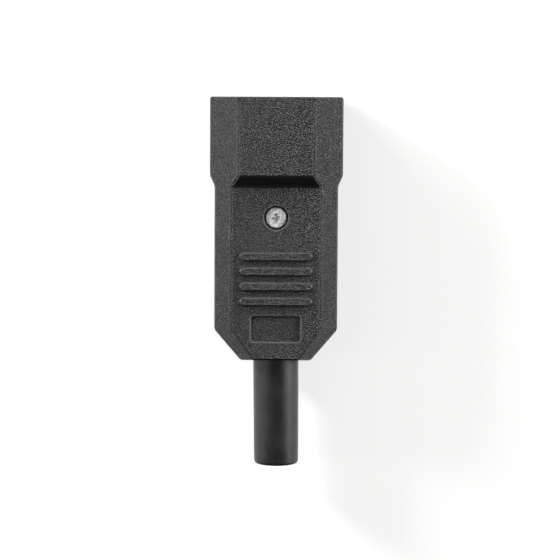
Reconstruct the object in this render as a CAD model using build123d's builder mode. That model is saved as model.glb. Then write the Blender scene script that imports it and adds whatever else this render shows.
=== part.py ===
"""Rewirable appliance plug for the power lead of a data centre rack.

A moulded casing in two halves holds an insulating insert with three flat pins. Inside are
three pillar terminals, a strap that carries the earth round the casing screw, and a clamp
for the cord, which enters through a rubber sleeve.

The plug lies on its underside with +Z up. Its mating end points along +Y and its sleeve
along -Y, and the origin is the middle of its bounding box, at the lowest point. Sizes are
in millimetres. A distance is measured backwards from the front rim of the casing, and a
height upwards from the plug's long axis.
"""

import os
from dataclasses import dataclass, replace
from math import sqrt

from build123d import *

# Casing, outside: its other widths and lengths follow from what it holds
step_length = 2.3
grip_height = 19.6
clamp_to_taper = 7.8
taper_length = 7.8
facet_lead = 1.0
rear_cheek = 2.07
rear_facet = 3.0
rear_lean = 7.0
under_chamfer = 2.4
edge_break = 0.35

# Casing, walls and joint between the halves
shroud_wall = 1.75
grip_wall = 1.9
rear_wall = 2.6
lip_width = 0.8
lip_height = 0.9
seat_clearance = 0.1
peg_width = 1.8
peg_height = 1.8
peg_post_width = 3.4
peg_inset = 2.65
peg_to_taper = 2.3

# Finger ribs on both halves, and the shallow recess behind them on the upper one
rib_count = 4
rib_pitch = 3.48
rib_length = 16.9
rib_width = 2.0
rib_height = 0.45
rib_edge = 0.2
screw_to_rib = 8.9
recess_length = 11.4
recess_width = 6.0
recess_depth = 0.3
recess_corner = 0.8
recess_to_taper = 0.7

# Insulating insert, whose cavity takes the connector
cavity_width = 24.6
cavity_height = 16.8
cavity_chamfer = 5.05
cavity_corner = 1.6
cavity_depth = 17.0
insert_side_wall = 1.35
insert_top_wall = 1.25
insert_facet_wall = 1.42
insert_floor = 1.7
rim_chamfer = 0.3
insert_setback = 0.3
insert_tail = 2.5
tail_clearance = 0.25
flange_rise = 0.8
flange_length = 2.0
flange_offset = 1.2
flange_wall = 0.4
rear_plate_length = 2.0

# Pins
pin_thickness = 2.0
pin_height = 4.0
pin_spacing = 14.0
pin_offset = 2.0
pin_reach = 14.3
earth_pin_reach = 16.3
pin_tip = 0.55
pin_clearance = 0.05
collar_thickness = 3.2
collar_height = 5.2
collar_length = 1.0
tail_height = 2.6
tail_hold = 2.4

# Terminals and their screws
block_width = 5.8
block_length = 7.0
block_height = 7.0
block_edge = 0.25
block_shift = 1.45
live_block_drop = 5.5
earth_block_drop = 4.6
earth_block_gap = 0.3
wire_hole = 3.4
wire_hole_rise = 2.6
wire_hole_depth = 4.2
terminal_thread = 3.0
terminal_screw_length = 4.6
terminal_head = 4.2
terminal_head_height = 1.5
thread_clearance = 0.05
slot_width = 0.6
slot_depth = 0.7
cradle_wall = 1.0
cradle_hold = 1.0

# Strap between the earth pin and its terminal
strap_thickness = 1.0
strap_height = 3.2
strap_overlap = 1.2
strap_shift_length = 1.5
strap_bend = 0.6
strap_hold = 4.5

# Casing screw, nut and washer, with the towers they stand in
screw_thread = 2.5
screw_reach = 2.7
screw_head = 4.9
screw_head_height = 2.0
screw_head_slope = 0.35
screw_head_slope_width = 0.9
screw_sink = 0.5
screw_pocket = 5.5
screw_clearance = 0.1
screw_point = 0.3
cross_length = 2.7
cross_width = 0.65
cross_depth = 1.1
cross_turn = 7.0
nut_flats = 5.0
nut_height = 2.0
nut_cover = 2.0
washer_diameter = 4.4
washer_thickness = 0.5
boss_radius = 2.6
head_boss_radius = 4.0
head_boss_depth = 2.5
tower_radius = 4.0
tower_gap = 0.33

# Cord clamp
wiring_length = 4.75
clamp_seat = 0.5
clamp_width = 5.2
clamp_height = 3.2
clamp_arch_rise = 1.9
clamp_side_gap = 1.25
clamp_thread = 2.4
clamp_screw_length = 9.0
clamp_head = 4.4
clamp_head_height = 1.6
clamp_head_sink = 1.5
clamp_hole_clearance = 0.25
cord_channel = 7.8
saddle_drop = 1.0
saddle_length = 3.5
tooth_pitch = 1.4
tooth_height = 0.35

# Sleeve for the cord
sleeve_tail = 24.5
sleeve_stub = 2.6
sleeve_bore = 8.0
sleeve_wall = 1.25
sleeve_flange_rise = 1.2
sleeve_flange_length = 2.0
sleeve_edge = 0.3
sleeve_clearance = 0.15
sleeve_rib_wall = 1.4


@dataclass
class Outline:
    """A section across the plug with eight sides, four of them slanting at 45 degrees.

    Each sum is the distance out plus the distance up or down, along a slanting side.
    """

    half_width: float
    half_height: float
    top_sum: float
    under_sum: float

    def inset(self, depth):
        """The same outline with every side moved inwards by depth."""
        return Outline(
            self.half_width - depth,
            self.half_height - depth,
            self.top_sum - depth * sqrt(2),
            self.under_sum - depth * sqrt(2),
        )

    def towards(self, other, share):
        """The outline part of the way along a straight blend to another."""
        return Outline(
            self.half_width + share * (other.half_width - self.half_width),
            self.half_height + share * (other.half_height - self.half_height),
            self.top_sum + share * (other.top_sum - self.top_sum),
            self.under_sum + share * (other.under_sum - self.under_sum),
        )

    def corners(self):
        """The eight corners, each as a place across and a height."""
        wide, high = self.half_width, self.half_height
        right = [
            (self.under_sum - high, -high),
            (wide, wide - self.under_sum),
            (wide, self.top_sum - wide),
            (self.top_sum - high, high),
        ]
        return right + [(-x, height) for x, height in reversed(right)]


# Outlines of the insert's body, of the pocket for it, and of the shroud round that
cavity_sum = (cavity_width + cavity_height) / 2 - cavity_chamfer
insert_depth = seat_clearance + shroud_wall
shroud_half_width = cavity_width / 2 + insert_side_wall + insert_depth
shroud_half_height = cavity_height / 2 + insert_top_wall + insert_depth
shroud = Outline(
    shroud_half_width,
    shroud_half_height,
    cavity_sum + (insert_facet_wall + insert_depth) * sqrt(2),
    shroud_half_width + shroud_half_height - under_chamfer,
)
pocket = shroud.inset(shroud_wall)
groove = pocket.inset(-flange_rise)

# Places across the plug, from its middle outwards
block_place = pin_spacing / 2 + block_shift
block_room = block_width + 2 * seat_clearance
sleeve_radius = sleeve_bore / 2 + sleeve_wall
flange_radius = sleeve_radius + sleeve_flange_rise

# Outlines of the grip, whose upper slanting sides carry on from the shroud's, and of its rear
# end, towards which the slanting sides turn before the upright ones
grip_top = grip_height / 2
grip_half_width = block_place + block_room / 2 + cradle_wall + grip_wall
rear_half_width = sleeve_radius + sleeve_clearance + rear_cheek
grip = Outline(
    grip_half_width,
    grip_top,
    shroud.top_sum,
    grip_half_width + grip_top - under_chamfer,
)
rear = Outline(
    rear_half_width,
    grip_top,
    rear_half_width + grip_top - rear_facet,
    rear_half_width + grip_top - under_chamfer,
)
shoulder = replace(grip.towards(rear, facet_lead / (facet_lead + taper_length)), half_width=grip_half_width)
taper_slant = sqrt(1 + ((grip_half_width - rear_half_width) / taper_length) ** 2)
chamber = grip.inset(grip_wall)
chamber_rear = shoulder.towards(rear, 1 - rear_wall / taper_length).inset(grip_wall * taper_slant)

# Places along the plug, from the front rim of the casing backwards
cavity_floor = insert_setback + cavity_depth
insert_end = cavity_floor + insert_floor
flange_end = insert_end - flange_offset
flange_start = flange_end - flange_length
shroud_length = flange_end + seat_clearance + flange_wall
grip_start = shroud_length + step_length
tail_end = insert_end + insert_tail
collar_start = tail_end - collar_length
rear_plate_end = tail_end + rear_plate_length
live_block_start = rear_plate_end + seat_clearance
screw_place = rear_plate_end + tower_gap + tower_radius
earth_block_start = screw_place + tower_radius + earth_block_gap
clamp_place = earth_block_start + block_length + wiring_length + clamp_width / 2
taper_start = clamp_place + clamp_to_taper
facet_start = taper_start - facet_lead
body_length = taper_start + taper_length
chamber_end = body_length - rear_wall
sleeve_flange_end = chamber_end - seat_clearance
sleeve_flange_start = sleeve_flange_end - sleeve_flange_length
sleeve_start = sleeve_flange_start - sleeve_stub
overall_length = body_length + sleeve_tail
front = overall_length / 2
first_rib = screw_place + screw_to_rib
recess_place = taper_start - recess_to_taper
peg_place = taper_start - peg_to_taper

# Heights above the plug's axis, and the height of the axis itself
axis_height = shroud.half_height
screw_head_top = grip_top - screw_sink
screw_seat = screw_head_top - screw_head_height
screw_tip = -nut_cover - nut_height - screw_reach
washer_top = seat_clearance / 2
washer_bottom = washer_top - washer_thickness

# Where each pin stands: its name, its place across, its height, and its reach from the floor
pins = [
    ("line", -pin_spacing / 2, -pin_offset, pin_reach),
    ("neutral", pin_spacing / 2, -pin_offset, pin_reach),
    ("earth", 0, pin_offset, earth_pin_reach),
]
# Where each terminal stands: its name, its place across, its front face and its underside
terminals = [
    ("line", -block_place, live_block_start, -live_block_drop),
    ("neutral", block_place, live_block_start, -live_block_drop),
    ("earth", 0, earth_block_start, -earth_block_drop),
]
clamp_screw_place = chamber.half_width - clamp_side_gap - clamp_width / 2
clamp_screws = [("left", -clamp_screw_place), ("right", clamp_screw_place)]
peg_places = [peg_inset - chamber.half_width, chamber.half_width - peg_inset]


def station(distance):
    """The plane across the plug at a distance, facing its rear."""
    return Plane((0, front - distance, axis_height), x_dir=(1, 0, 0), z_dir=(0, -1, 0))


def level(height):
    """The horizontal plane at a height."""
    return Plane.XY.offset(axis_height + height)


def prism(outline, start, end):
    """One outline carried straight from one distance to another."""
    with BuildSketch(station(start)) as section:
        Polygon(*outline.corners(), align=None)
    extrude(section.sketch, amount=end - start)


def blend(outline, start, other, end):
    """A change from one outline to another, with a flat face between each pair of their sides."""
    near = [station(start).from_local_coords(corner) for corner in outline.corners()]
    far = [station(end).from_local_coords(corner) for corner in other.corners()]
    faces = [Face(Wire.make_polygon(near)), Face(Wire.make_polygon(far))]
    for side in range(len(near)):
        rim = [near[side - 1], near[side], far[side], far[side - 1]]
        faces.append(Face(Wire.make_polygon(rim)))
    add(Solid(Shell(faces)))


def bar(x, height, start, end, width, depth, mode=Mode.ADD):
    """A bar of rectangular section lying along the plug."""
    with BuildSketch(station(start)) as section:
        with Locations((x, height)):
            Rectangle(width, depth)
    extrude(section.sketch, amount=end - start, mode=mode)


def rod(x, height, start, end, radius, mode=Mode.ADD):
    """A round rod lying along the plug."""
    with BuildSketch(station(start)) as section:
        with Locations((x, height)):
            Circle(radius)
    extrude(section.sketch, amount=end - start, mode=mode)


def block(x, start, end, width, bottom, top, mode=Mode.ADD):
    """An upright block between two distances and two heights."""
    with BuildSketch(level(bottom)) as plan:
        with Locations((x, front - (start + end) / 2)):
            Rectangle(width, end - start)
    extrude(plan.sketch, amount=top - bottom, mode=mode)


def post(x, distance, bottom, top, radius, mode=Mode.ADD):
    """An upright round post between two heights."""
    with BuildSketch(level(bottom)) as plan:
        with Locations((x, front - distance)):
            Circle(radius)
    extrude(plan.sketch, amount=top - bottom, mode=mode)


def keep(piece, name):
    """Names a finished piece and writes it."""
    piece.part.label = name
    export_step(piece.part, f"parts/{name}.step")


os.makedirs("parts", exist_ok=True)

# Casing before it is parted: its outer form, and the space inside it
with BuildPart() as outer_form:
    prism(shroud, 0, shroud_length)
    blend(shroud, shroud_length, grip, grip_start)
    prism(grip, grip_start, facet_start)
    blend(grip, facet_start, shoulder, taper_start)
    blend(shoulder, taper_start, rear, body_length)
    for lean in (-rear_lean, rear_lean):
        split(bisect_by=station(body_length).rotated((lean, 0, 0)), keep=Keep.BOTTOM)
    upper_edges = outer_form.edges().filter_by(lambda edge: edge.center().Z > axis_height)
    upright_edges = outer_form.edges().filter_by(Axis.Z)
    chamfer(upper_edges + upright_edges, edge_break)

with BuildPart() as inner_space:
    prism(pocket, 0, insert_end)
    prism(groove, flange_start - seat_clearance, flange_end + seat_clearance)
    prism(chamber, insert_end, taper_start)
    blend(chamber, taper_start, chamber_rear, chamber_end)
    rod(0, 0, sleeve_flange_start, chamber_end, flange_radius + sleeve_clearance)
    rod(0, 0, chamber_end, body_length, sleeve_radius + sleeve_clearance)

# Finger ribs of the upper half, which the lower half mirrors
with BuildPart() as finger_ribs:
    with BuildSketch(level(grip_top)):
        with Locations((0, front - first_rib - rib_pitch * (rib_count - 1) / 2)):
            with GridLocations(0, rib_pitch, 1, rib_count):
                SlotOverall(rib_length, rib_width)
    extrude(amount=rib_height)
    chamfer(finger_ribs.edges().group_by(Axis.Z)[-1], rib_edge)


def lip(clearance, mode):
    """The ridge of the lap joint, along the inner edge of both side walls."""
    width = lip_width + clearance
    start = rear_plate_end - clearance
    end = taper_start + clearance
    for side in (-1, 1):
        middle = side * (chamber.half_width + width / 2)
        block(middle, start, end, width, 0, lip_height + clearance, mode)


def sleeve_rib(bottom, top):
    """The inner wall that holds the sleeve's flange against the rear of the casing."""
    end = sleeve_flange_start - seat_clearance
    start = end - sleeve_rib_wall
    block(0, start, end, 2 * (flange_radius + sleeve_rib_wall), bottom, top)
    rod(0, 0, start, end, sleeve_radius + sleeve_clearance, Mode.SUBTRACT)


def channel_span(height, start, end, half_width):
    """A stretch of the cord's channel, whose six flat sides grip cords of several sizes."""
    with BuildSketch(station(start)) as section:
        with Locations((0, height)):
            RegularPolygon(half_width, 6, major_radius=False)
    extrude(section.sketch, amount=end - start, mode=Mode.SUBTRACT)


def cord_channel_cut(height, length, grooves):
    """The channel for the cord, with grooves across it that leave teeth between them."""
    channel_span(height, clamp_place - length / 2, clamp_place + length / 2, cord_channel / 2)
    for index in range(grooves):
        middle = clamp_place + (index - (grooves - 1) / 2) * tooth_pitch
        start = middle - tooth_pitch / 4
        channel_span(height, start, start + tooth_pitch / 2, cord_channel / 2 + tooth_height)


def peg_block(x, width, bottom, top, mode=Mode.ADD):
    """A square post or peg that lines the halves up, or the hole for one."""
    block(x, peg_place - width / 2, peg_place + width / 2, width, bottom, top, mode)


def cradle(x, start, bottom):
    """The seat of a terminal, with a low cheek on either side."""
    end = start + block_length
    block(x, start, end, block_room + 2 * cradle_wall, -grip_top, bottom + cradle_hold)
    block(x, start, end, block_room, bottom, bottom + cradle_hold, Mode.SUBTRACT)


# What stands inside each half, trimmed to the casing's outer form
with BuildPart() as lower_fittings:
    for name, x, start, bottom in terminals:
        cradle(x, start, bottom)
    post(0, screw_place, -grip_top, 0, tower_radius)
    washer_room = washer_diameter / 2 + seat_clearance
    post(0, screw_place, washer_bottom - seat_clearance, 0, washer_room, Mode.SUBTRACT)
    post(0, screw_place, screw_tip - screw_clearance, 0, screw_thread / 2 + screw_clearance, Mode.SUBTRACT)
    nut_room = nut_flats + 2 * seat_clearance
    block(
        0,
        screw_place - nut_room / sqrt(3),
        screw_place + tower_radius,
        nut_room,
        -nut_cover - nut_height - seat_clearance,
        -nut_cover + seat_clearance,
        Mode.SUBTRACT,
    )
    saddle_front = clamp_place - saddle_length / 2
    block(0, saddle_front, saddle_front + saddle_length, 2 * clamp_screw_place, -grip_top, -saddle_drop)
    cord_channel_cut(0, saddle_length, 2)
    for name, x in clamp_screws:
        post(x, clamp_place, -grip_top, clamp_seat, clamp_width / 2)
        hole_bottom = clamp_seat + clamp_height - clamp_head_sink - clamp_screw_length - screw_clearance
        post(x, clamp_place, hole_bottom, clamp_seat, clamp_thread / 2 + thread_clearance, Mode.SUBTRACT)
    sleeve_rib(-grip_top, 0)
    for x in peg_places:
        peg_block(x, peg_post_width, -grip_top, 0)
        peg_block(x, peg_width, 0, peg_height)
    add(outer_form.part, mode=Mode.INTERSECT)

with BuildPart() as upper_fittings:
    post(0, screw_place, screw_seat - head_boss_depth, grip_top, head_boss_radius)
    post(0, screw_place, seat_clearance, screw_seat, boss_radius)
    post(0, screw_place, seat_clearance, grip_top, screw_thread / 2 + screw_clearance, Mode.SUBTRACT)
    sleeve_rib(seat_clearance, grip_top)
    for x in peg_places:
        peg_block(x, peg_post_width, seat_clearance, grip_top)
        hole_width = peg_width + 2 * seat_clearance
        peg_block(x, hole_width, 0, peg_height + seat_clearance, Mode.SUBTRACT)
    add(outer_form.part, mode=Mode.INTERSECT)

# Lower shell, which carries everything but the cover and its screw
with BuildPart() as lower_shell:
    add(outer_form.part)
    add(inner_space.part, mode=Mode.SUBTRACT)
    split(bisect_by=level(0), keep=Keep.BOTTOM)
    add(lower_fittings.part)
    mirror(finger_ribs.part, about=level(0))
    lip(0, Mode.ADD)
keep(lower_shell, "lower_shell")

# Upper shell, which lifts off as a cover
with BuildPart() as upper_shell:
    add(outer_form.part)
    add(inner_space.part, mode=Mode.SUBTRACT)
    split(bisect_by=level(0), keep=Keep.TOP)
    add(upper_fittings.part)
    add(finger_ribs.part)
    lip(seat_clearance, Mode.SUBTRACT)
    post(0, screw_place, screw_seat, grip_top, screw_pocket / 2, Mode.SUBTRACT)
    with BuildSketch(level(grip_top)) as recess:
        with Locations((0, front - recess_place)):
            RectangleRounded(recess_length, recess_width, recess_corner)
    extrude(recess.sketch, amount=-recess_depth, mode=Mode.SUBTRACT)
keep(upper_shell, "upper_shell")

# Insert: the cavity, the flange that the shells trap, and the tail that steadies the pins
with BuildPart() as pin_insert:
    prism(pocket.inset(seat_clearance), insert_setback, insert_end)
    prism(groove.inset(seat_clearance), flange_start, flange_end)
    prism(chamber.inset(tail_clearance), insert_end, tail_end)
    with BuildSketch(station(insert_setback)) as mouth:
        Rectangle(cavity_width, cavity_height)
        chamfer(mouth.vertices().group_by(Axis.Y)[-1], cavity_chamfer)
        fillet(mouth.vertices().group_by(Axis.Y)[0], cavity_corner)
    extrude(mouth.sketch, amount=cavity_depth, mode=Mode.SUBTRACT)
    chamfer(pin_insert.faces().sort_by(Axis.Y)[-1].edges(), rim_chamfer)
    for name, x, height, reach in pins:
        slot = 2 * pin_clearance
        bar(x, height, cavity_floor, tail_end, pin_thickness + slot, pin_height + slot, Mode.SUBTRACT)
        bar(x, height, collar_start, tail_end, collar_thickness + slot, collar_height + slot, Mode.SUBTRACT)
keep(pin_insert, "pin_insert")

# Plate that closes the back of the insert over the collars of the pins
with BuildPart() as insert_rear_plate:
    prism(chamber.inset(tail_clearance), tail_end, rear_plate_end)
    for name, x, height, reach in pins:
        slot = 2 * pin_clearance
        bar(x, height, tail_end, rear_plate_end, pin_thickness + slot, tail_height + slot, Mode.SUBTRACT)
keep(insert_rear_plate, "insert_rear_plate")

# Pins: a blade with a chamfered tip, a collar inside the insert, and a tail behind it
for name, x, height, reach in pins:
    pin_end = rear_plate_end + strap_overlap if name == "earth" else live_block_start + tail_hold
    with BuildPart() as pin:
        bar(x, height, cavity_floor - reach, collar_start, pin_thickness, pin_height)
        chamfer(pin.faces().sort_by(Axis.Y)[-1].edges(), pin_tip)
        bar(x, height, collar_start, tail_end, collar_thickness, collar_height)
        bar(x, height, tail_end, pin_end, pin_thickness, tail_height)
    keep(pin, f"{name}_pin")


def driver_slot(x, place, head, head_top):
    """The slot for a screwdriver, straight across the head of a screw."""
    start = place - head / 2
    block(x, start, start + head, slot_width, head_top - slot_depth, head_top, Mode.SUBTRACT)


# Terminals: a pillar with a hole for the wire from behind and a tapped hole from above
for name, x, start, bottom in terminals:
    end = start + block_length
    top = bottom + block_height
    wire_height = bottom + wire_hole_rise
    with BuildPart() as terminal:
        block(x, start, end, block_width, bottom, top)
        chamfer(terminal.edges().filter_by(Axis.Z), block_edge)
        rod(x, wire_height, end - wire_hole_depth, end, wire_hole / 2, Mode.SUBTRACT)
        tapped = terminal_thread / 2 + thread_clearance
        post(x, end - wire_hole_depth / 2, wire_height, top, tapped, Mode.SUBTRACT)
        for pin_name, pin_x, height, reach in pins:
            if pin_name == name and name != "earth":
                tail_width = pin_thickness + 2 * pin_clearance
                tail_room = tail_height + 2 * pin_clearance
                tail_bottom = start + tail_hold + pin_clearance
                bar(pin_x, height, start, tail_bottom, tail_width, tail_room, Mode.SUBTRACT)
    keep(terminal, f"{name}_terminal")

    with BuildPart() as terminal_screw:
        place = end - wire_hole_depth / 2
        post(x, place, top - terminal_screw_length, top, terminal_thread / 2)
        post(x, place, top, top + terminal_head_height, terminal_head / 2)
        driver_slot(x, place, terminal_head, top + terminal_head_height)
    keep(terminal_screw, f"{name}_terminal_screw")

# Earth strap: along the side of the pin's tail, out past the screw tower, along the terminal
strap_near = (pin_thickness + strap_thickness) / 2
strap_far = (block_width + strap_thickness) / 2
shift_start = rear_plate_end + strap_overlap
with BuildPart() as earth_strap:
    with BuildSketch(level(pin_offset - strap_height / 2)):
        with BuildLine():
            FilletPolyline(
                (strap_near, front - rear_plate_end - seat_clearance),
                (strap_near, front - shift_start),
                (strap_far, front - shift_start - strap_shift_length),
                (strap_far, front - earth_block_start - strap_hold),
                radius=strap_bend,
            )
        trace(line_width=strap_thickness)
    extrude(amount=strap_height)
keep(earth_strap, "earth_strap")

# Casing screw, with a cross recess in its head
with BuildPart() as casing_screw:
    post(0, screw_place, screw_tip, screw_seat, screw_thread / 2)
    chamfer(casing_screw.edges().group_by(Axis.Z)[0], screw_point)
    post(0, screw_place, screw_seat, screw_head_top, screw_head / 2)
    chamfer(casing_screw.edges().group_by(Axis.Z)[-1], screw_head_slope, screw_head_slope_width)
    with BuildSketch(level(screw_head_top)) as cross:
        with Locations((0, front - screw_place)):
            Rectangle(cross_length, cross_width, rotation=cross_turn)
            Rectangle(cross_width, cross_length, rotation=cross_turn)
    extrude(cross.sketch, amount=-cross_depth, mode=Mode.SUBTRACT)
keep(casing_screw, "casing_screw")

# Nut in the side slot of the lower tower
with BuildPart() as casing_nut:
    with BuildSketch(level(-nut_cover - nut_height)):
        with Locations((0, front - screw_place)):
            RegularPolygon(nut_flats / 2, 6, major_radius=False, rotation=30)
            Circle(screw_thread / 2 + thread_clearance, mode=Mode.SUBTRACT)
    extrude(amount=nut_height)
keep(casing_nut, "casing_nut")

# Washer that keeps the screw in the upper shell when the cover is off
with BuildPart() as screw_retaining_washer:
    post(0, screw_place, washer_bottom, washer_top, washer_diameter / 2)
    post(0, screw_place, washer_bottom, washer_top, screw_thread / 2 + thread_clearance, Mode.SUBTRACT)
keep(screw_retaining_washer, "screw_retaining_washer")

# Clamp bar: rounded ends round its screws, and an arch with teeth over the cord
clamp_top = clamp_seat + clamp_height
clamp_head_seat = clamp_top - clamp_head_sink
with BuildPart() as cord_clamp_bar:
    with BuildSketch(level(clamp_seat)):
        with Locations((0, front - clamp_place)):
            SlotCenterToCenter(2 * clamp_screw_place, clamp_width)
    extrude(amount=clamp_height)
    cord_channel_cut(clamp_seat + clamp_arch_rise - cord_channel / 2, clamp_width, 3)
    for name, x in clamp_screws:
        hole = clamp_thread / 2 + clamp_hole_clearance
        post(x, clamp_place, clamp_seat, clamp_top, hole, Mode.SUBTRACT)
        post(x, clamp_place, clamp_head_seat, clamp_top, clamp_head / 2 + seat_clearance, Mode.SUBTRACT)
keep(cord_clamp_bar, "cord_clamp_bar")

for name, x in clamp_screws:
    with BuildPart() as clamp_screw:
        post(x, clamp_place, clamp_head_seat - clamp_screw_length, clamp_head_seat, clamp_thread / 2)
        head_top = clamp_head_seat + clamp_head_height
        post(x, clamp_place, clamp_head_seat, head_top, clamp_head / 2)
        driver_slot(x, clamp_place, clamp_head, head_top)
    keep(clamp_screw, f"{name}_clamp_screw")

# Sleeve: a tube with a flange inside the casing, turned round the plug's axis
with BuildPart() as cable_sleeve:
    with BuildSketch(Plane((0, front, axis_height))):
        with BuildLine():
            Polyline(
                (sleeve_bore / 2, -sleeve_start),
                (sleeve_radius, -sleeve_start),
                (sleeve_radius, -sleeve_flange_start),
                (flange_radius, -sleeve_flange_start),
                (flange_radius, -sleeve_flange_end),
                (sleeve_radius, -sleeve_flange_end),
                (sleeve_radius, -overall_length),
                (sleeve_bore / 2, -overall_length),
                close=True,
            )
        make_face()
    revolve(axis=Axis((0, 0, axis_height), (0, 1, 0)))
    chamfer(cable_sleeve.edges().group_by(Axis.Y)[0].sort_by(SortBy.RADIUS)[-1], sleeve_edge)
keep(cable_sleeve, "cable_sleeve")
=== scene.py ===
"""Looks of a rewirable plug for a data centre's power lead, seen from above on white paper."""

import math

import bmesh
import bpy
from mathutils import Matrix, Vector


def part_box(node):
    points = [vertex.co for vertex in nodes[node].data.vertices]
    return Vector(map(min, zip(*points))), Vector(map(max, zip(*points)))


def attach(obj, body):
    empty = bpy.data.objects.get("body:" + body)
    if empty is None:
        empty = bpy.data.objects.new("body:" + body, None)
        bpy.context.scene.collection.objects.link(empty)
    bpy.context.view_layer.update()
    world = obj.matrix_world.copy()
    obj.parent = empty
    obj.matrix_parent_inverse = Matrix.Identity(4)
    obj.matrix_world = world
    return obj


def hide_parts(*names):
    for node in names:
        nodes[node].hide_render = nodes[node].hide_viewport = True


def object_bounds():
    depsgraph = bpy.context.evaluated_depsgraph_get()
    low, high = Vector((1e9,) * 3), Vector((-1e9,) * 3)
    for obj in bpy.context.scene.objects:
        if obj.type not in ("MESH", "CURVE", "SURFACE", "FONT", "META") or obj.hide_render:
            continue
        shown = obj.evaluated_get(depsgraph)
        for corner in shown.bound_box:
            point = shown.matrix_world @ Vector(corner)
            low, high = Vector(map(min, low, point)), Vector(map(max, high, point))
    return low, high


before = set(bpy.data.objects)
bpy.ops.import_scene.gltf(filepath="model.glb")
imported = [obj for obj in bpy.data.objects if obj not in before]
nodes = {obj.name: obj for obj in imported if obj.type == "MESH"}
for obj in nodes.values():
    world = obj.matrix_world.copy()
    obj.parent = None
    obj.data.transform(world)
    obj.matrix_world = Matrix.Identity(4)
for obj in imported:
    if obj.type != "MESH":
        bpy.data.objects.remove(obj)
model_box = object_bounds()
scene = bpy.context.scene
scene.view_settings.view_transform = "Standard"

# Both halves of the casing are moulded in black glass-filled nylon and held together by one
# screw. The mould was spark-eroded, so the outside has a fine, hard grain with a dull shine.
# Along its upper edges that don't face back, a paler colour is painted as a highlight, and the
# grain is shallower there.
grain_spacing = 0.28e-3  # a little coarser than the real grain, so that it shows
grain_depth = 0.55e-3
edge_radius = 0.12e-3
edge_highlight_reach = 0.42e-3
front_rim = model_box[1][1]
rim_no_highlight, rim_full_highlight = 0.9e-3, 1.4e-3  # the painted edge highlight sets in between these distances from the rim
highlight_bottom, highlight_top = 13.0e-3, 14.0e-3  # and between these heights


def linear(colour):
    """The linear value of an sRGB colour written as #rrggbb."""
    channels = [int(colour[start:start + 2], 16) / 255 for start in (1, 3, 5)]
    return [c / 12.92 if c <= 0.04045 else ((c + 0.055) / 1.055) ** 2.4 for c in channels] + [1]


def set_sockets(tree, node, inputs):
    """Sets the inputs of a node to values, or links them to the sockets of other nodes."""
    for name, value in inputs.items():
        if isinstance(value, bpy.types.NodeSocket):
            tree.links.new(value, node.inputs[name])
        else:
            node.inputs[name].default_value = value


def add_node(tree, kind, inputs, **settings):
    """One node with its settings, whose inputs are set to values or linked to sockets."""
    node = tree.nodes.new(kind)
    for name, value in settings.items():
        setattr(node, name, value)
    set_sockets(tree, node, inputs)
    return node


def empty_tree(owner):
    """The node tree of a material or a world, with nothing in it."""
    owner.use_nodes = True
    owner.node_tree.nodes.clear()
    return owner.node_tree


def new_material(name):
    """A material with one principled shader, its node tree and that shader."""
    material = bpy.data.materials.new(name)
    tree = empty_tree(material)
    shader = add_node(tree, "ShaderNodeBsdfPrincipled", {})
    add_node(tree, "ShaderNodeOutputMaterial", {"Surface": shader.outputs["BSDF"]})
    return material, tree, shader


def finish_node(name, material):
    """Gives a part of the frame its finish."""
    nodes[name].data.materials.clear()
    nodes[name].data.materials.append(material)


nylon, tree, shader = new_material("spark_eroded_black_nylon")
place = add_node(tree, "ShaderNodeTexCoord", {})
rounded = add_node(tree, "ShaderNodeBevel", {"Radius": edge_radius}, samples=6)

# An edge has little nylon behind it. It gets the painted highlight only where it doesn't face back,
# above the parting line, and behind the front rim.
backed = add_node(tree, "ShaderNodeAmbientOcclusion", {"Distance": edge_highlight_reach}, samples=10,
                  inside=True, only_local=True)
edge = add_node(tree, "ShaderNodeMapRange", {
    "Value": backed.outputs["AO"], "From Min": 0.98, "From Max": 0.89,
    "To Min": 0.0, "To Max": 1.0})
edge_facing_bevel = add_node(tree, "ShaderNodeBevel", {"Radius": edge_highlight_reach}, samples=8)
edge_facing = add_node(tree, "ShaderNodeSeparateXYZ", {"Vector": edge_facing_bevel.outputs["Normal"]})
not_facing_back = add_node(tree, "ShaderNodeMapRange", {
    "Value": edge_facing.outputs["Y"], "From Min": -0.1, "From Max": 0.0,
    "To Min": 0.0, "To Max": 1.0})
reach = add_node(tree, "ShaderNodeSeparateXYZ", {"Vector": place.outputs["Object"]})
behind_rim = add_node(tree, "ShaderNodeMapRange", {
    "Value": reach.outputs["Y"], "From Min": front_rim - rim_full_highlight,
    "From Max": front_rim - rim_no_highlight, "To Min": 1.0, "To Max": 0.0})
high_enough = add_node(tree, "ShaderNodeMapRange", {
    "Value": reach.outputs["Z"], "From Min": highlight_bottom, "From Max": highlight_top,
    "To Min": 0.0, "To Max": 1.0})

# Walls that face steeply back have next to no grain, because it would hold them in the mould.
# There they get an even dark colour, without the painted glints.
flat = add_node(tree, "ShaderNodeNewGeometry", {})
facing = add_node(tree, "ShaderNodeSeparateXYZ", {"Vector": flat.outputs["Normal"]})
sideways = add_node(tree, "ShaderNodeMath", {0: facing.outputs["X"]}, operation="ABSOLUTE")
rearward = add_node(tree, "ShaderNodeMath", {
    0: sideways.outputs["Value"], 1: 1.5, 2: facing.outputs["Y"]}, operation="MULTIPLY_ADD")
grained = add_node(tree, "ShaderNodeMapRange", {
    "Value": rearward.outputs["Value"], "From Min": -0.12, "From Max": -0.3,
    "To Min": 1.0, "To Max": 0.05})
to_front = add_node(tree, "ShaderNodeMapRange", {
    "Value": facing.outputs["Y"], "From Min": 0.2, "From Max": 0.4,
    "To Min": 1.0, "To Max": 0.2})
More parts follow.
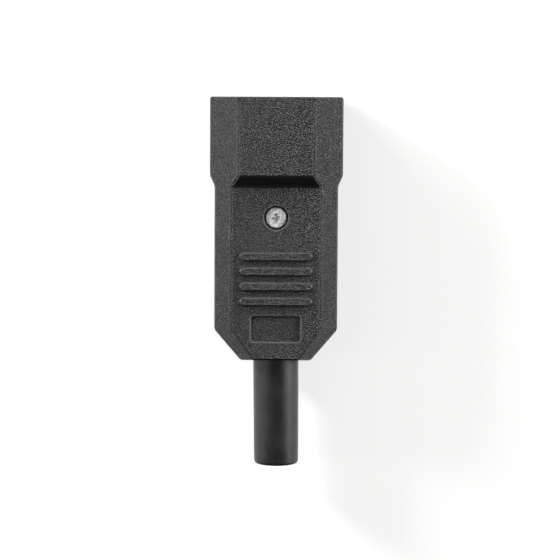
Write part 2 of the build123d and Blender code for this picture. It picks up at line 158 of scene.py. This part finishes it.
# This mask paints a highlight into the colour of the upper edges.
painted_edge_highlight = edge
for limit in (to_front, grained, not_facing_back, behind_rim, high_enough):
    painted_edge_highlight = add_node(tree, "ShaderNodeMath", {
        0: painted_edge_highlight.outputs[0], 1: limit.outputs["Result"]}, operation="MULTIPLY")
grain = add_node(tree, "ShaderNodeTexNoise", {
    "Vector": place.outputs["Object"], "Scale": 1 / grain_spacing, "Detail": 1.0,
    "Roughness": 0.5})
# The pale specks of this colour are painted glints on the grain; between them the nylon is near
# black.
tint = add_node(tree, "ShaderNodeValToRGB", {"Fac": grain.outputs["Fac"]})
tint.color_ramp.elements[0].position = 0.54
tint.color_ramp.elements[0].color = linear("#020203")
tint.color_ramp.elements[1].position = 0.64
tint.color_ramp.elements[1].color = linear("#585859")
even = add_node(tree, "ShaderNodeMix", {
    0: grained.outputs["Result"], "A": linear("#1c1c1c"), "B": tint.outputs["Color"]},
    data_type="RGBA")
# The pale #747475 mixed in here is the painted edge highlight.
edge_highlighted = add_node(tree, "ShaderNodeMix", {
    0: painted_edge_highlight.outputs["Value"], "A": even.outputs["Result"], "B": linear("#747475")},
    data_type="RGBA")
dullness = add_node(tree, "ShaderNodeMapRange", {
    "Value": grain.outputs["Fac"], "From Min": 0.3, "From Max": 0.7,
    "To Min": 0.38, "To Max": 0.3})
bump_outside_highlight = add_node(tree, "ShaderNodeMapRange", {
    "Value": painted_edge_highlight.outputs["Value"], "To Min": 1.0, "To Max": 0.3})
depth = add_node(tree, "ShaderNodeMath", {
    0: bump_outside_highlight.outputs["Result"], 1: grained.outputs["Result"]}, operation="MULTIPLY")
pitted = add_node(tree, "ShaderNodeBump", {
    "Height": grain.outputs["Fac"], "Normal": rounded.outputs["Normal"],
    "Distance": grain_depth, "Strength": depth.outputs["Value"]})
set_sockets(tree, shader, {
    "Base Color": edge_highlighted.outputs["Result"], "Roughness": dullness.outputs["Result"],
    "Normal": pitted.outputs["Normal"], "IOR": 1.5, "Specular IOR Level": 0.46})
for name in ("lower_shell", "upper_shell"):
    finish_node(name, nylon)

# The insert and the plate behind it are moulded in black thermoset from a polished mould, so
# they are plain and a little shiny, with a faint flow pattern.
flow_width = 3.125e-3
moulded_edge = 0.15e-3
thermoset, tree, shader = new_material("moulded_black_thermoset")
place = add_node(tree, "ShaderNodeTexCoord", {})
flow = add_node(tree, "ShaderNodeTexNoise", {
    "Vector": place.outputs["Object"], "Scale": 1 / flow_width, "Detail": 4.0,
    "Distortion": 0.6})
tint = add_node(tree, "ShaderNodeValToRGB", {"Fac": flow.outputs["Fac"]})
tint.color_ramp.elements[0].color = linear("#18181a")
tint.color_ramp.elements[1].color = linear("#232325")
dullness = add_node(tree, "ShaderNodeMapRange", {
    "Value": flow.outputs["Fac"], "To Min": 0.3, "To Max": 0.42})
rounded = add_node(tree, "ShaderNodeBevel", {"Radius": moulded_edge}, samples=6)
uneven = add_node(tree, "ShaderNodeBump", {
    "Height": flow.outputs["Fac"], "Normal": rounded.outputs["Normal"], "Distance": 0.01e-3})
set_sockets(tree, shader, {
    "Base Color": tint.outputs["Color"], "Roughness": dullness.outputs["Result"],
    "Normal": uneven.outputs["Normal"], "IOR": 1.58})
for name in ("pin_insert", "insert_rear_plate"):
    finish_node(name, thermoset)

# The pins are drawn brass with a bright nickel plating. The connector's contacts have rubbed
# fine lines along them.
rub_spacing = 0.12e-3
pin_edge = 0.12e-3
nickel, tree, shader = new_material("nickel_plated_brass")
place = add_node(tree, "ShaderNodeTexCoord", {})
along = add_node(tree, "ShaderNodeMapping", {
    "Vector": place.outputs["Object"], "Scale": (1.0, 0.03, 1.0)})
rubs = add_node(tree, "ShaderNodeTexNoise", {
    "Vector": along.outputs["Vector"], "Scale": 1 / rub_spacing, "Detail": 2.0})
dullness = add_node(tree, "ShaderNodeMapRange", {
    "Value": rubs.outputs["Fac"], "From Min": 0.3, "From Max": 0.7,
    "To Min": 0.16, "To Max": 0.34})
rounded = add_node(tree, "ShaderNodeBevel", {"Radius": pin_edge}, samples=6)
lined = add_node(tree, "ShaderNodeBump", {
    "Height": rubs.outputs["Fac"], "Normal": rounded.outputs["Normal"], "Distance": 0.004e-3})
set_sockets(tree, shader, {
    "Base Color": linear("#c9c4ba"), "Metallic": 1.0, "Roughness": dullness.outputs["Result"],
    "Normal": lined.outputs["Normal"]})
for name in ("line_pin", "neutral_pin", "earth_pin"):
    finish_node(name, nickel)

# The terminals are sawn and drilled from bare brass bar, and the earth strap is cut from bare
# brass strip. They show the tool's fine marks and a warm, slightly uneven tarnish.
cut_spacing = 0.14286e-3
tarnish_width = 2.2222e-3
sawn_edge = 0.1e-3
brass, tree, shader = new_material("machined_brass")
place = add_node(tree, "ShaderNodeTexCoord", {})
across = add_node(tree, "ShaderNodeMapping", {
    "Vector": place.outputs["Object"], "Scale": (0.08, 1.0, 1.0)})
cuts = add_node(tree, "ShaderNodeTexNoise", {
    "Vector": across.outputs["Vector"], "Scale": 1 / cut_spacing, "Detail": 2.0})
tarnish = add_node(tree, "ShaderNodeTexNoise", {
    "Vector": place.outputs["Object"], "Scale": 1 / tarnish_width, "Detail": 3.0})
tint = add_node(tree, "ShaderNodeValToRGB", {"Fac": tarnish.outputs["Fac"]})
tint.color_ramp.elements[0].position = 0.35
tint.color_ramp.elements[0].color = linear("#b98f4c")
tint.color_ramp.elements[1].position = 0.7
tint.color_ramp.elements[1].color = linear("#dcbd7d")
dullness = add_node(tree, "ShaderNodeMapRange", {
    "Value": cuts.outputs["Fac"], "From Min": 0.3, "From Max": 0.7,
    "To Min": 0.24, "To Max": 0.44})
rounded = add_node(tree, "ShaderNodeBevel", {"Radius": sawn_edge}, samples=6)
lined = add_node(tree, "ShaderNodeBump", {
    "Height": cuts.outputs["Fac"], "Normal": rounded.outputs["Normal"], "Distance": 0.006e-3})
set_sockets(tree, shader, {
    "Base Color": tint.outputs["Color"], "Metallic": 1.0,
    "Roughness": dullness.outputs["Result"], "Normal": lined.outputs["Normal"]})
for name in ("line_terminal", "neutral_terminal", "earth_terminal", "earth_strap"):
    finish_node(name, brass)

# The casing screw is steel with a thin zinc plating, which is pale and blotchy where it dried.
# Its thread is rolled, and its pan head has a punched cross recess that narrows downwards.
blotch_width = 0.52632e-3
zinc, tree, shader = new_material("zinc_plated_steel")
place = add_node(tree, "ShaderNodeTexCoord", {})
blotches = add_node(tree, "ShaderNodeTexNoise", {
    "Vector": place.outputs["Object"], "Scale": 1 / blotch_width, "Detail": 2.0,
    "Roughness": 0.6})
tint = add_node(tree, "ShaderNodeValToRGB", {"Fac": blotches.outputs["Fac"]})
tint.color_ramp.elements[0].position = 0.35
tint.color_ramp.elements[0].color = linear("#dededb")
tint.color_ramp.elements[1].position = 0.65
tint.color_ramp.elements[1].color = linear("#ffffff")
dullness = add_node(tree, "ShaderNodeMapRange", {
    "Value": blotches.outputs["Fac"], "From Min": 0.3, "From Max": 0.7,
    "To Min": 0.58, "To Max": 0.8})
dimpled = add_node(tree, "ShaderNodeBump", {
    "Height": blotches.outputs["Fac"], "Distance": 0.22e-3})
set_sockets(tree, shader, {
    "Base Color": tint.outputs["Color"], "Metallic": 1.0,
    "Roughness": dullness.outputs["Result"], "Normal": dimpled.outputs["Normal"]})


def mesh_object(name, mesh, material, crease=None):
    """An object with a smooth mesh, which is sharp only at edges over the crease in degrees."""
    data = bpy.data.meshes.new(name)
    mesh.to_mesh(data)
    mesh.free()
    data.shade_smooth()
    if crease:
        data.set_sharp_from_angle(angle=math.radians(crease))
    data.materials.append(material)
    made = bpy.data.objects.new(name, data)
    scene.collection.objects.link(made)
    return made


def turned_screw(name, shank, pitch, depth, head_height, head_profile):
    """A screw that fills the box of its node: a rolled thread, and a head turned from a profile.

    The shank is the thread's outer radius. The profile holds shares of the head's radius and of
    its height, from its rim to its middle.
    """
    low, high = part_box(name)
    x, y = (low.x + high.x) / 2, (low.y + high.y) / 2
    head_radius = (high.x - low.x) / 2
    head_start = high.z - head_height
    tip_share, tip_length = 0.72, 0.9 * shank
    mesh = bmesh.new()
    sides, rows_per_turn = 40, 6
    angles = [math.tau * side / sides for side in range(sides)]

    def ring(radii, height):
        return [mesh.verts.new((x + radius * math.cos(angle), y + radius * math.sin(angle), height))
                for radius, angle in zip(radii, angles)]

    rings = []
    count = round((head_start - low.z) / pitch * rows_per_turn)
    for row in range(count + 1):
        rise = (head_start - low.z) * row / count
        taper = min(1.0, tip_share + (1 - tip_share) * rise / tip_length)
        phases = [(rise / pitch - side / sides) % 1 for side in range(sides)]
        rings.append(ring([(shank - depth * abs(2 * phase - 1)) * taper for phase in phases],
                          low.z + rise))
    for share, rise in head_profile:
        rings.append(ring([head_radius * share] * sides, head_start + head_height * rise))
    for lower, upper in zip(rings, rings[1:]):
        for side in range(sides):
            after = (side + 1) % sides
            mesh.faces.new((lower[side], lower[after], upper[after], upper[side]))
    mesh.faces.new(list(reversed(rings[0])))
    mesh.faces.new(rings[-1])
    return mesh_object(name + "_threaded", mesh, zinc), Vector((x, y, high.z))


def cut_recess(screw, top, arms, length, width, depth, turn):
    """Cuts a slot, or the crossed arms of a cross recess that narrow downwards, into a head."""
    narrowed = 0.45 if arms == 2 else 1.0
    crease = 40
    mesh = bmesh.new()
    for arm in range(arms):
        turned = Matrix.Rotation(math.radians(turn) + arm * math.pi / 2, 4, "Z")
        for vertex in bmesh.ops.create_cube(mesh, size=1.0)["verts"]:
            shrink = narrowed if vertex.co.z < 0 else 1.0
            vertex.co = top + turned @ Vector((
                vertex.co.x * length * shrink, vertex.co.y * width, vertex.co.z * 2 * depth))
    cutter = bpy.data.objects.new("cutter", bpy.data.meshes.new("cutter"))
    mesh.to_mesh(cutter.data)
    mesh.free()
    scene.collection.objects.link(cutter)
    recess = screw.modifiers.new("recess", "BOOLEAN")
    recess.operation = "DIFFERENCE"
    recess.object = cutter
    recess.solver = "EXACT"
    recess.use_self = True
    bpy.context.view_layer.update()
    shaped = bpy.data.meshes.new_from_object(
        screw.evaluated_get(bpy.context.evaluated_depsgraph_get()))
    screw.modifiers.clear()
    screw.data = shaped
    shaped.name = screw.name
    bpy.data.objects.remove(cutter)
    shaped.shade_smooth()
    shaped.set_sharp_from_angle(angle=math.radians(crease))


pan_head = [(0.97, 0.0), (1.0, 0.05), (1.0, 0.86), (0.985, 0.93), (0.95, 0.97), (0.88, 0.985),
            (0.7, 0.992), (0.45, 0.997), (0.2, 1.0)]
casing_screw, top = turned_screw("casing_screw", shank=1.25e-3, pitch=0.45e-3, depth=0.24e-3,
                                 head_height=2.0e-3, head_profile=pan_head)
cut_recess(casing_screw, top, arms=2, length=2.9e-3, width=0.62e-3, depth=1.3e-3, turn=7)
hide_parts("casing_screw")
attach(casing_screw, "casing_screw")

# Each terminal has a zinc-plated steel screw that pinches the bared core in its wire hole. It
# has a low cheese head with a milled slot, which runs right across it.
cheese_head = [(0.97, 0.0), (1.0, 0.04), (1.0, 0.82), (0.975, 0.93), (0.92, 1.0), (0.5, 1.0),
               (0.2, 1.0)]
milled_slot = {"arms": 1, "length": 6e-3, "width": 0.6e-3, "depth": 0.7e-3}
for name, body in (("line_terminal_screw", "line_screw"),
                   ("neutral_terminal_screw", "neutral_screw"),
                   ("earth_terminal_screw", "earth_screw")):
    screw, top = turned_screw(name, shank=1.5e-3, pitch=0.5e-3, depth=0.28e-3,
                              head_height=1.5e-3, head_profile=cheese_head)
    cut_recess(screw, top, turn=12, **milled_slot)
    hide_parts(name)
    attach(screw, body)

# Two zinc-plated steel screws pull the cord clamp down. They cut their own coarse thread in
# the posts of the casing, and have the same heads as the terminal screws.
for name in ("left_clamp_screw", "right_clamp_screw"):
    screw, top = turned_screw(name, shank=1.2e-3, pitch=0.8e-3, depth=0.34e-3,
                              head_height=1.6e-3, head_profile=cheese_head)
    cut_recess(screw, top, turn=-20, **milled_slot)
    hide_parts(name)
    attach(screw, "cord_clamp")

# The casing screw's hexagon nut is pressed from steel and zinc plated like the screw. It lies
# in a side slot of the casing's screw tower, which keeps it from turning.
finish_node("casing_nut", zinc)

# The washer under the casing screw is punched from red vulcanised fibre, a dense paper board
# with short fibres lying every way.
felt_width = 0.2e-3
fibre, tree, shader = new_material("vulcanised_fibre")
place = add_node(tree, "ShaderNodeTexCoord", {})
felt = add_node(tree, "ShaderNodeTexNoise", {
    "Vector": place.outputs["Object"], "Scale": 1 / felt_width, "Detail": 3.0,
    "Distortion": 1.5})
tint = add_node(tree, "ShaderNodeValToRGB", {"Fac": felt.outputs["Fac"]})
tint.color_ramp.elements[0].color = linear("#5a2016")
tint.color_ramp.elements[1].color = linear("#8c3b27")
rough = add_node(tree, "ShaderNodeBump", {"Height": felt.outputs["Fac"], "Distance": 0.02e-3})
set_sockets(tree, shader, {
    "Base Color": tint.outputs["Color"], "Roughness": 0.72, "Normal": rough.outputs["Normal"],
    "IOR": 1.5})
finish_node("screw_retaining_washer", fibre)

# The clamp bar is moulded in the casing's black nylon, but in a plain mould, so it has no
# grain, and only a faint cloudiness in its shine.
cloud_width = 2e-3
bar_edge = 0.2e-3
plain_nylon, tree, shader = new_material("plain_moulded_black_nylon")
place = add_node(tree, "ShaderNodeTexCoord", {})
cloud = add_node(tree, "ShaderNodeTexNoise", {
    "Vector": place.outputs["Object"], "Scale": 1 / cloud_width, "Detail": 3.0})
tint = add_node(tree, "ShaderNodeValToRGB", {"Fac": cloud.outputs["Fac"]})
tint.color_ramp.elements[0].color = linear("#161617")
tint.color_ramp.elements[1].color = linear("#242425")
dullness = add_node(tree, "ShaderNodeMapRange", {
    "Value": cloud.outputs["Fac"], "To Min": 0.38, "To Max": 0.52})
rounded = add_node(tree, "ShaderNodeBevel", {"Radius": bar_edge}, samples=6)
uneven = add_node(tree, "ShaderNodeBump", {
    "Height": cloud.outputs["Fac"], "Normal": rounded.outputs["Normal"], "Distance": 0.02e-3})
set_sockets(tree, shader, {
    "Base Color": tint.outputs["Color"], "Roughness": dullness.outputs["Result"],
    "Normal": uneven.outputs["Normal"], "IOR": 1.53})
finish_node("cord_clamp_bar", plain_nylon)

# The sleeve is black rubber that the cord is pushed through, held in the casing by its flange.
# Its smooth, satin skin has faint lines along it, and a warm bloom where it was handled. It
# is soft, so it tapers a little, leans a little to the right and has a rounded end.
line_spacing = 0.66667e-3
bloom_width = 3.8462e-3
rubber, tree, shader = new_material("satin_black_rubber")
place = add_node(tree, "ShaderNodeTexCoord", {})
along = add_node(tree, "ShaderNodeMapping", {
    "Vector": place.outputs["Object"], "Scale": (1.0, 0.04, 1.0)})
lines = add_node(tree, "ShaderNodeTexNoise", {
    "Vector": along.outputs["Vector"], "Scale": 1 / line_spacing, "Detail": 3.0})
bloom = add_node(tree, "ShaderNodeTexNoise", {
    "Vector": place.outputs["Object"], "Scale": 1 / bloom_width, "Detail": 3.0})
tint = add_node(tree, "ShaderNodeValToRGB", {"Fac": bloom.outputs["Fac"]})
tint.color_ramp.elements[0].position = 0.35
tint.color_ramp.elements[0].color = linear("#29292a")
tint.color_ramp.elements[1].position = 0.7
tint.color_ramp.elements[1].color = linear("#33302f")
dullness = add_node(tree, "ShaderNodeMapRange", {
    "Value": bloom.outputs["Fac"], "From Min": 0.3, "From Max": 0.7,
    "To Min": 0.3, "To Max": 0.4})
drawn = add_node(tree, "ShaderNodeBump", {"Height": lines.outputs["Fac"], "Distance": 0.02e-3})
set_sockets(tree, shader, {
    "Base Color": tint.outputs["Color"], "Roughness": dullness.outputs["Result"],
    "Normal": drawn.outputs["Normal"], "IOR": 1.52, "Specular IOR Level": 0.42})
low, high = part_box("cable_sleeve")
casing_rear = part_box("upper_shell")[0].y
axis = (high.z + low.z) / 2
bore, outside, flange = 4.0e-3, 5.25e-3, high.x
flange_front, flange_rear = casing_rear + 4.7e-3, casing_rear + 2.7e-3
broken = 0.15e-3
seat_shift = 0.07e-3
lean = 0.18e-3 / (casing_rear - low.y)
profile = [
    (bore, high.y), (outside - 0.2e-3, high.y), (outside, high.y - 0.2e-3),
    (outside, flange_front), (flange - broken, flange_front), (flange, flange_front - broken),
    (flange, flange_rear + broken), (flange - broken, flange_rear), (outside, flange_rear),
    (outside, casing_rear + 1e-3), (outside + 0.1e-3, casing_rear),
    (outside + 0.08e-3, casing_rear - 8e-3), (outside + 0.04e-3, low.y + 6e-3),
    (outside, low.y + 0.9e-3), (outside - 0.05e-3, low.y + 0.6e-3),
    (outside - 0.17e-3, low.y + 0.32e-3), (outside - 0.36e-3, low.y + 0.12e-3),
    (outside - 0.6e-3, low.y + 0.02e-3), (outside - 0.8e-3, low.y),
    (bore + 0.3e-3, low.y), (bore + 0.1e-3, low.y + 0.08e-3), (bore, low.y + 0.3e-3)]
mesh = bmesh.new()
sides = 96
rings = []
for radius, y in profile:
    shift = seat_shift + lean * (casing_rear - y) if y < casing_rear + 1e-4 else 0.0
    rings.append([
        mesh.verts.new((shift + radius * math.cos(math.tau * side / sides), y,
                        axis + radius * math.sin(math.tau * side / sides)))
        for side in range(sides)])
for index, ring in enumerate(rings):
    after = rings[(index + 1) % len(rings)]
    for side in range(sides):
        beside = (side + 1) % sides
        mesh.faces.new((ring[side], ring[beside], after[beside], after[side]))
bmesh.ops.recalc_face_normals(mesh, faces=mesh.faces)
soft_sleeve = mesh_object("soft_sleeve", mesh, rubber, crease=50)
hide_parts("cable_sleeve")
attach(soft_sleeve, "casing_base")

# The plug lies on white matt paper. The paper is 0.02 mm below it, so that the plug's flat
# underside and the paper don't share one plane.
paper_height = -0.02e-3
paper_glow = 0.62  # lifts the paper to white where it is seen, also in shiny surfaces


def seen_straight(tree):
    """Is 1 where the eye sees a surface straight, in a shiny one or through a clear one."""
    seen = add_node(tree, "ShaderNodeLightPath", {})
    by_eye = add_node(tree, "ShaderNodeMath", {
        0: seen.outputs["Is Camera Ray"], 1: seen.outputs["Is Glossy Ray"]},
        operation="MAXIMUM")
    by_any = add_node(tree, "ShaderNodeMath", {
        0: by_eye.outputs["Value"], 1: seen.outputs["Is Transmission Ray"]},
        operation="MAXIMUM")
    return by_any.outputs["Value"]


def sheet(name, width, depth, place, turn, material):
    """A flat rectangle of paper or card."""
    across, deep = width / 2, depth / 2
    data = bpy.data.meshes.new(name)
    data.from_pydata([(-across, -deep, 0), (across, -deep, 0), (across, deep, 0),
                      (-across, deep, 0)], [], [(0, 1, 2, 3)])
    data.materials.append(material)
    made = bpy.data.objects.new(name, data)
    scene.collection.objects.link(made)
    made.matrix_world = Matrix.Translation(place) @ turn
    return made


paper = bpy.data.materials.new("white_paper")
tree = empty_tree(paper)
lift = add_node(tree, "ShaderNodeMath", {0: seen_straight(tree), 1: paper_glow},
                operation="MULTIPLY")
glow = add_node(tree, "ShaderNodeEmission", {
    "Color": linear("#ffffff"), "Strength": lift.outputs["Value"]})
matt = add_node(tree, "ShaderNodeBsdfDiffuse", {"Color": linear("#d8d8d6")})
both = add_node(tree, "ShaderNodeAddShader", {0: glow.outputs["Emission"], 1: matt.outputs["BSDF"]})
add_node(tree, "ShaderNodeOutputMaterial", {"Surface": both.outputs["Shader"]})
level = Matrix.Identity(4)
sheet("paper_floor", 12.0, 12.0, (0, 0, paper_height), level, paper)

# Cards stand round the plug and are seen only in its shine. The low white ones brighten the
# slanting facets, the grey ones keep the upper face dark, and the black ones the rear faces.
card, tree, shader = new_material("black_card")
set_sockets(tree, shader, {"Base Color": linear("#050505"), "Roughness": 0.9})


def lit_card(name, colour, strength):
    """A card that is lit from elsewhere, so its light doesn't depend on these lamps."""
    made = bpy.data.materials.new(name)
    tree = empty_tree(made)
    glow = add_node(tree, "ShaderNodeEmission", {"Color": linear(colour), "Strength": strength})
    add_node(tree, "ShaderNodeOutputMaterial", {"Surface": glow.outputs["Emission"]})
    return made


grey = lit_card("grey_card", "#646464", 1.0)
pale = lit_card("pale_card", "#ffffff", 1.2)
white = lit_card("white_card", "#ffffff", 2.0)
upright = Matrix.Rotation(math.radians(90), 4, "X")
sideways_on = Matrix.Rotation(math.radians(90), 4, "Y")
for flag in (
    sheet("rear_flag", 0.9, 0.40, (0, -0.28, 0.20), upright, card),
    sheet("rear_floor_flag", 0.6, 0.44, (0, -0.29, 0.0006), level, card),
    sheet("left_card", 0.34, 1.4, (-0.9, 0.0, 0.17), sideways_on, pale),
    sheet("right_card", 0.46, 1.4, (0.9, 0.0, 0.23), sideways_on, white),
    sheet("front_flag", 1.0, 0.7, (0, 0.9, 0.35), upright, grey),
    sheet("ceiling", 2.6, 3.0, (0, 0, 0.8), level, grey),
):
    flag.visible_camera = False
    flag.visible_diffuse = False
    flag.visible_shadow = False

# Beyond the cards is a tent of white cloth. It shows white in shiny surfaces, and gives only
# a little light of its own.
tent_light = 0.12
world = bpy.data.worlds.new("white_tent")
scene.world = world
tree = empty_tree(world)
strength = add_node(tree, "ShaderNodeMapRange", {
    "Value": seen_straight(tree), "To Min": tent_light, "To Max": 1.0})
light = add_node(tree, "ShaderNodeBackground", {
    "Color": linear("#ffffff"), "Strength": strength.outputs["Result"]})
add_node(tree, "ShaderNodeOutputWorld", {"Surface": light.outputs["Background"]})

# Two small lamps stand low on the left in front, which brings out the grain. A strip on the
# left and two panels on the right fill in the facets.


def lamp(name, place, width, depth, power):
    """A soft lamp that faces the plug."""
    data = bpy.data.lights.new(name, "AREA")
    data.shape = "RECTANGLE"
    data.size, data.size_y, data.energy = width, depth, power
    made = bpy.data.objects.new(name, data)
    made.location = place
    made.rotation_euler = (-Vector(place)).to_track_quat("-Z", "Y").to_euler()
    made.visible_camera = False
    scene.collection.objects.link(made)


lamp("front_left_lamp", (-0.36, 0.24, 0.18), 0.08, 0.08, 1.6)
lamp("low_left_lamp", (-0.14, 0.18, 0.07), 0.05, 0.05, 0.18)
lamp("left_strip", (-0.62, 0.0, 0.62), 0.1, 1.0, 1.0)
lamp("front_right_panel", (0.75, 0.4, 0.14), 0.7, 0.24, 6.6)
lamp("right_panel", (0.85, 0.0, 0.4), 0.28, 1.0, 2.2)

# The camera hangs half a metre above the mating end and looks down on the whole plug, so it
# leans back a little, and is turned by a hair.
shell_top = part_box("upper_shell")[1]
aside, distance = 0.96e-3, 0.5008
lean_back, roll = math.radians(-4.9105), math.radians(0.306)
eye = bpy.data.cameras.new("camera")
eye.lens = 137.108
eye.sensor_width = 36.0
camera = bpy.data.objects.new("camera", eye)
scene.collection.objects.link(camera)
camera.matrix_world = (
    Matrix.Translation((aside, shell_top.y, distance + shell_top.z / 2))
    @ Matrix.Rotation(lean_back, 4, "X") @ Matrix.Rotation(roll, 4, "Z"))
scene.camera = camera

bpy.context.view_layer.update()
